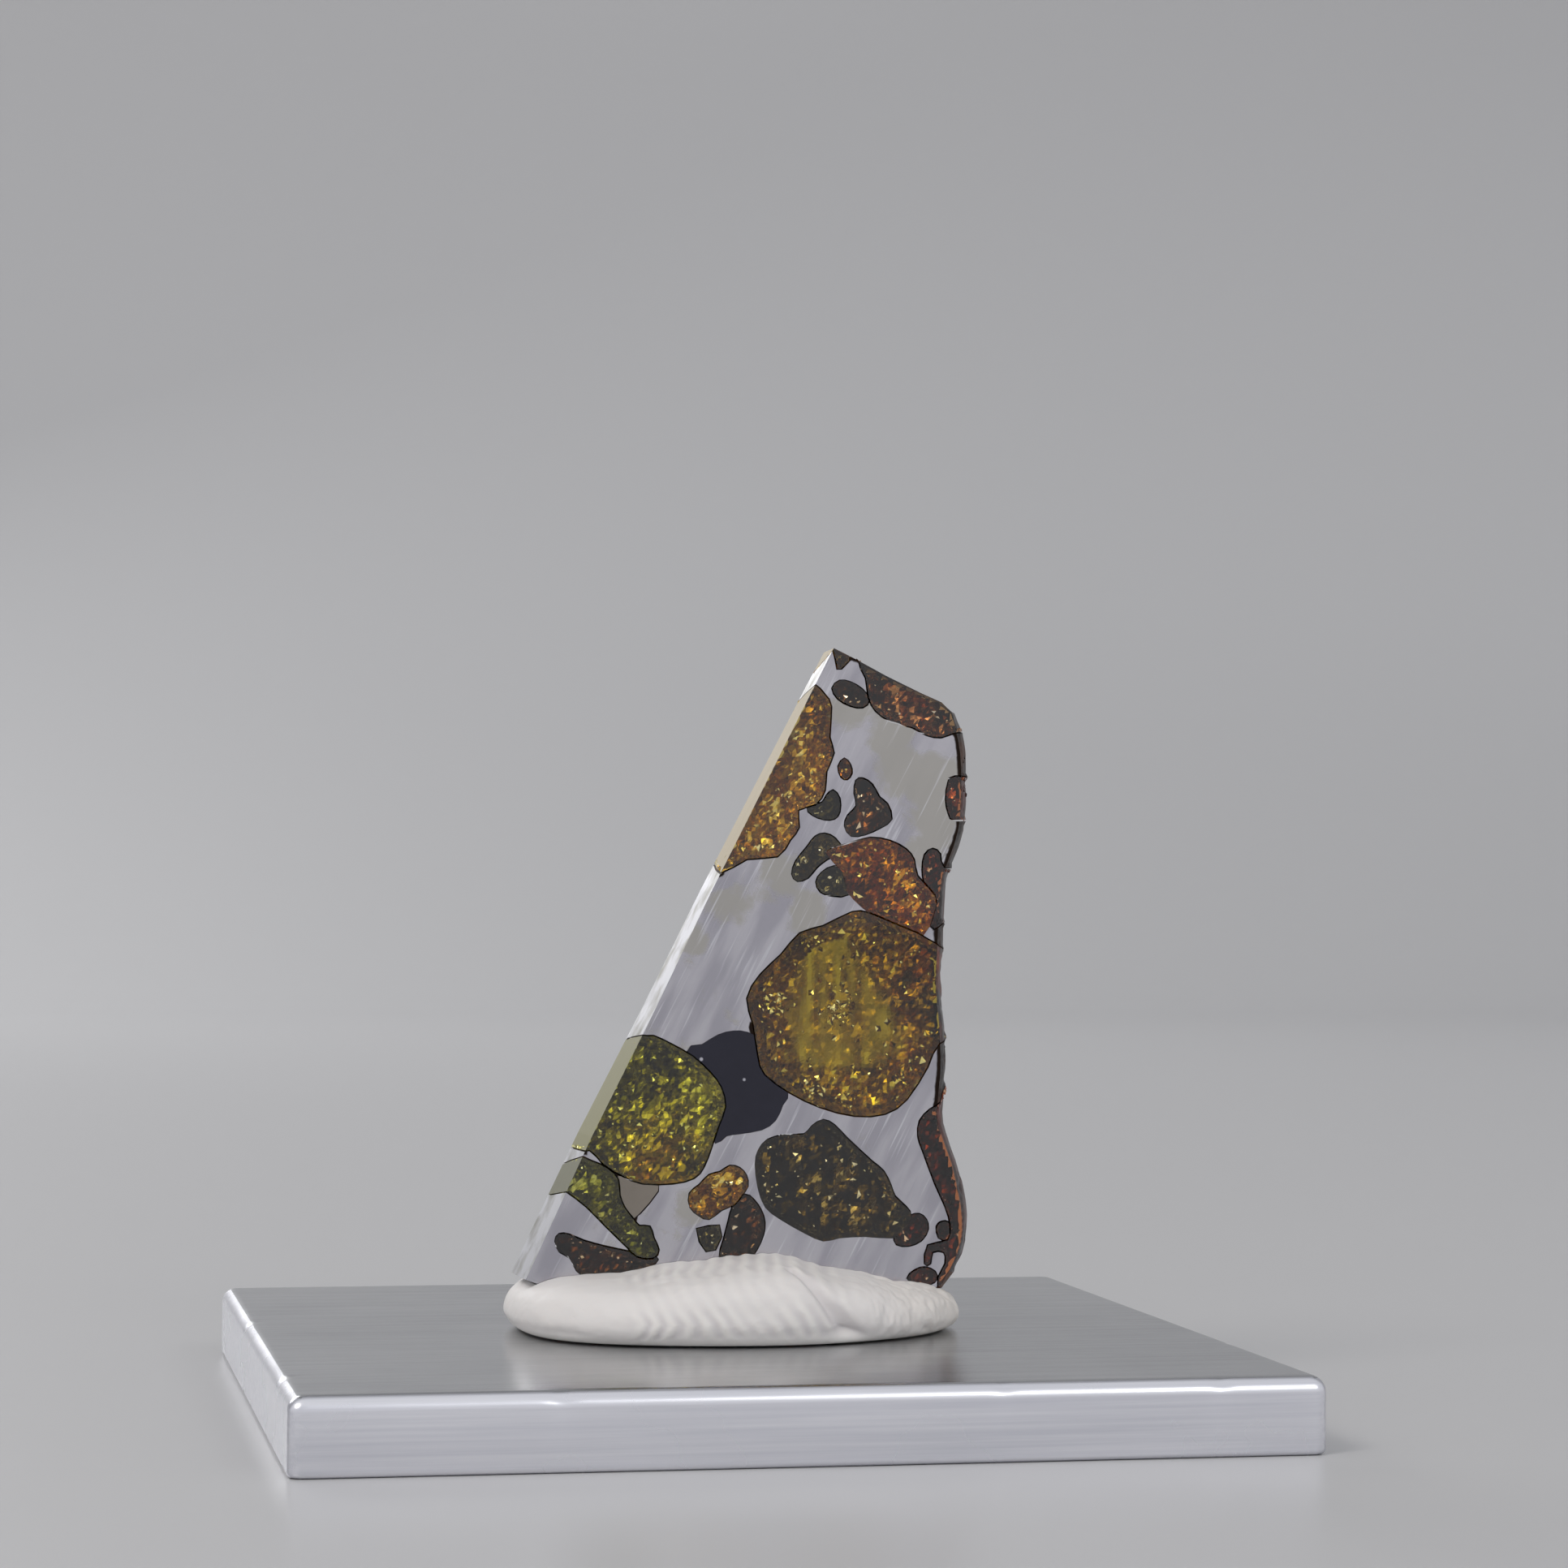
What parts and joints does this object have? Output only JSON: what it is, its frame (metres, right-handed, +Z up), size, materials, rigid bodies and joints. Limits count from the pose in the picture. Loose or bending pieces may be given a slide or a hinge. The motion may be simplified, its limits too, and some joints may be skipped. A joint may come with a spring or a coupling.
{
  "type": "pallasite meteorite slice on a stand",
  "caption": "Thin polished slice of a pallasite meteorite, olivine crystals in bright metal, held upright by a lump of white putty on a square aluminium plate.",
  "frame": {"origin": "middle of the plate's flat underside", "axes": "+Z up, the slice stands in the XZ plane with its polished front towards -Y and the plate's sides along X and Y"},
  "size_m": [0.025, 0.025, 0.02],
  "materials": {
    "plate": "drawn and brushed, satin",
    "putty": "matt, with fingerprint ridges",
    "nickel_iron": "polished, with fine scratches and hazy tarnish",
    "chromite": "polished, near black",
    "troilite": "polished, grey-brown",
    "olivine_amber": "polished clear crystal, amber",
    "olivine_honey": "polished clear crystal, honey",
    "olivine_gold": "polished clear crystal, gold",
    "olivine_lime": "polished clear crystal, yellow-green",
    "olivine_green": "polished clear crystal, green",
    "olivine_olive": "polished clear crystal, dark olive",
    "olivine_bronze": "polished fissured crystal, dark bronze",
    "olivine_umber": "polished stained crystal, dark brown",
    "olivine_garnet": "polished stained crystal, red-brown"
  },
  "bodies": {
    "root": {"base_plate": "plate", "putty": "putty", "nickel_iron": "nickel_iron", "chromite_grain": "chromite", "troilite_patch": "troilite", "olivine_large": "olivine_amber", "olivine_upper": "olivine_honey", "olivine_saw_edge": "olivine_gold", "olivine_crown": "olivine_umber", "olivine_tip": "olivine_gold", "olivine_bean": "olivine_umber", "olivine_droplet": "olivine_honey", "olivine_twin": "olivine_umber", "olivine_smoky": "olivine_olive", "olivine_fork": "olivine_olive", "olivine_oval": "olivine_olive", "olivine_side_bean": "olivine_garnet", "olivine_side_twin": "olivine_garnet", "olivine_lower_left": "olivine_lime", "olivine_green": "olivine_green", "olivine_foot_left": "olivine_umber", "olivine_cluster": "olivine_gold", "olivine_shield": "olivine_olive", "olivine_black": "olivine_umber", "olivine_lower_right": "olivine_bronze", "olivine_bead": "olivine_garnet", "olivine_lower_side": "olivine_garnet", "olivine_side_bead": "olivine_garnet", "olivine_foot_right": "olivine_garnet"}
  },
  "joints": []
}
